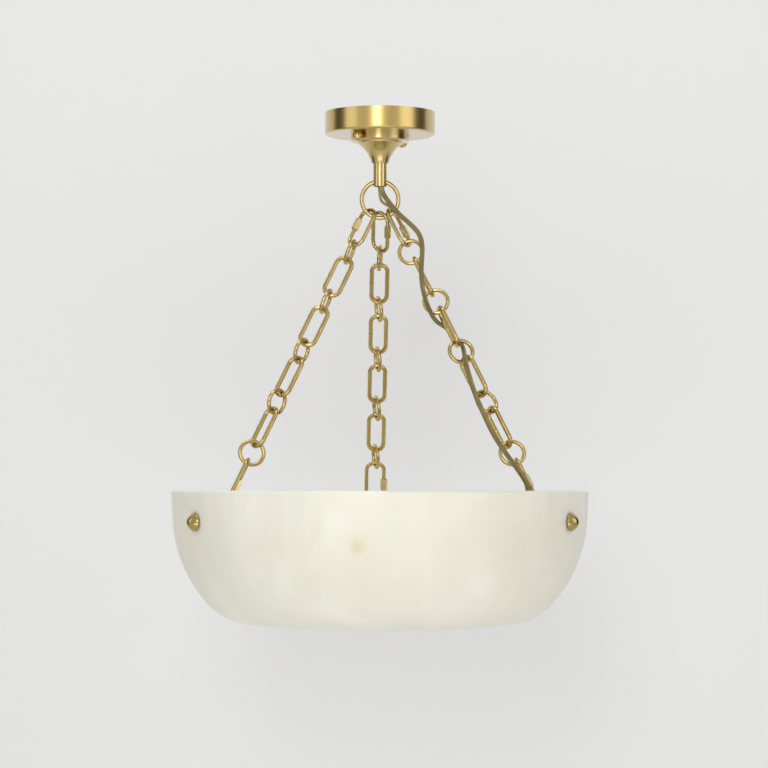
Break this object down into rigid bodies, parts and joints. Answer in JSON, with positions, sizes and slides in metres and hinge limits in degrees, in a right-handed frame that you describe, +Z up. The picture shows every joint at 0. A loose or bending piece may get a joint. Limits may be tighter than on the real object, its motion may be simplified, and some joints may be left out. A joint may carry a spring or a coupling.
{
  "type": "bowl pendant light",
  "caption": "Stone bowl pendant hung on brass chains from a ring, a stem and a round ceiling canopy, with a lamp cluster inside.",
  "frame": {"origin": "centre of the canopy's open top, on the ceiling, in the middle of the two ceiling-box screw holes", "axes": "+Z up through the ceiling, +X to the right as pictured, +Y away from the viewer"},
  "size_m": [0.4497, 0.4588, 0.5594],
  "materials": {
    "ball_brass": "polished",
    "alabaster": "polished alabaster",
    "ring_link_brass": "lacquered",
    "canopy_brass": "satin lacquered",
    "screw_steel": "plain",
    "cap_brass": "polished",
    "cord": "clear gold jacket",
    "bushing_plastic": "moulded",
    "zinc_steel": "zinc plated",
    "earth_wire": "clear gold jacket",
    "bolt_brass": "plain",
    "ring_brass": "lacquered",
    "lamp_metal": "white enamel",
    "rubber": "matt",
    "holder_plastic": "moulded",
    "nipple_brass": "plain",
    "link_brass": "lacquered",
    "quick_brass": "plated",
    "sleeve_brass": "polished",
    "stem_brass": "satin",
    "lead_plastic": "clear gold jacket",
    "trumpet_brass": "satin",
    "connector_plastic": "moulded"
  },
  "bodies": {
    "ceiling_mount": {"crossbar": "zinc_steel", "canopy": "canopy_brass", "canopy_screw_front": "screw_steel", "canopy_screw_rear": "screw_steel", "ball_nut_front": "ball_brass", "ball_nut_rear": "ball_brass", "nipple": "nipple_brass", "nipple_washer": "nipple_brass", "nipple_nut": "nipple_brass", "trumpet": "trumpet_brass", "stem": "stem_brass", "supply_leads": "lead_plastic", "earth_lead": "earth_wire", "wire_connectors": "connector_plastic", "earth_screw": "screw_steel"},
    "hanger": {"hanger_ring": "ring_brass"},
    "pendant": {"bowl": "alabaster", "bowl_ring_back": "ring_link_brass", "bowl_ring_left": "ring_link_brass", "bowl_ring_right": "ring_link_brass", "cap_nut_back": "cap_brass", "cap_nut_left": "cap_brass", "cap_nut_right": "cap_brass", "cord": "cord", "cord_bushing": "bushing_plastic", "earth_wire": "earth_wire", "eye_bolt_back": "bolt_brass", "eye_bolt_left": "bolt_brass", "eye_bolt_right": "bolt_brass", "hub": "lamp_metal", "hub_cap": "lamp_metal", "inner_rubbers": "rubber", "lamp_base": "lamp_metal", "lamp_feet": "rubber", "lampholder_1": "holder_plastic", "lampholder_2": "holder_plastic", "lampholder_3": "holder_plastic", "oblong_links_back": "link_brass", "oblong_links_left": "link_brass", "oblong_links_right": "link_brass", "outer_rubbers": "rubber", "plate_washers": "bolt_brass", "quick_link_low_back": "quick_brass", "quick_link_low_left": "quick_brass", "quick_link_low_right": "quick_brass", "quick_link_top_back": "quick_brass", "quick_link_top_left": "quick_brass", "quick_link_top_right": "quick_brass", "round_rings_back": "ring_link_brass", "round_rings_left": "ring_link_brass", "round_rings_right": "ring_link_brass"},
    "sleeve_top_back_body": {"sleeve_top_back": "sleeve_brass"},
    "sleeve_low_back_body": {"sleeve_low_back": "sleeve_brass"},
    "sleeve_top_left_body": {"sleeve_top_left": "sleeve_brass"},
    "sleeve_low_left_body": {"sleeve_low_left": "sleeve_brass"},
    "sleeve_top_right_body": {"sleeve_top_right": "sleeve_brass"},
    "sleeve_low_right_body": {"sleeve_low_right": "sleeve_brass"}
  },
  "joints": [
    {"name": "fore_aft_swing", "type": "hinge", "parent": "ceiling_mount", "child": "hanger", "pos_m": [0, 0, -0.0758], "axis": [1, 0, 0], "range_deg": [-15, 15], "deforming": ["cord", "earth_wire"]},
    {"name": "side_sway", "type": "hinge", "parent": "hanger", "child": "pendant", "pos_m": [0, 0, -0.09448], "axis": [0, 1, 0], "range_deg": [-12, 12], "deforming": ["cord", "earth_wire"]},
    {"name": "sleeve_top_back_travel", "type": "slide", "parent": "pendant", "child": "sleeve_top_back_body", "axis": [-0.0199, 0.5154, -0.8567], "range_m": [0, 0.008]},
    {"name": "sleeve_low_back_travel", "type": "slide", "parent": "pendant", "child": "sleeve_low_back_body", "axis": [0.0199, -0.5154, 0.8567], "range_m": [0, 0.008]},
    {"name": "sleeve_top_left_travel", "type": "slide", "parent": "pendant", "child": "sleeve_top_left_body", "axis": [-0.4098, -0.2698, -0.8714], "range_m": [0, 0.008]},
    {"name": "sleeve_low_left_travel", "type": "slide", "parent": "pendant", "child": "sleeve_low_left_body", "axis": [0.4098, 0.2698, 0.8714], "range_m": [0, 0.008]},
    {"name": "sleeve_top_right_travel", "type": "slide", "parent": "pendant", "child": "sleeve_top_right_body", "axis": [-0.425, 0.2416, 0.8723], "range_m": [0, 0.008]},
    {"name": "sleeve_low_right_travel", "type": "slide", "parent": "pendant", "child": "sleeve_low_right_body", "axis": [-0.425, 0.2416, 0.8723], "range_m": [0, 0.008]}
  ]
}
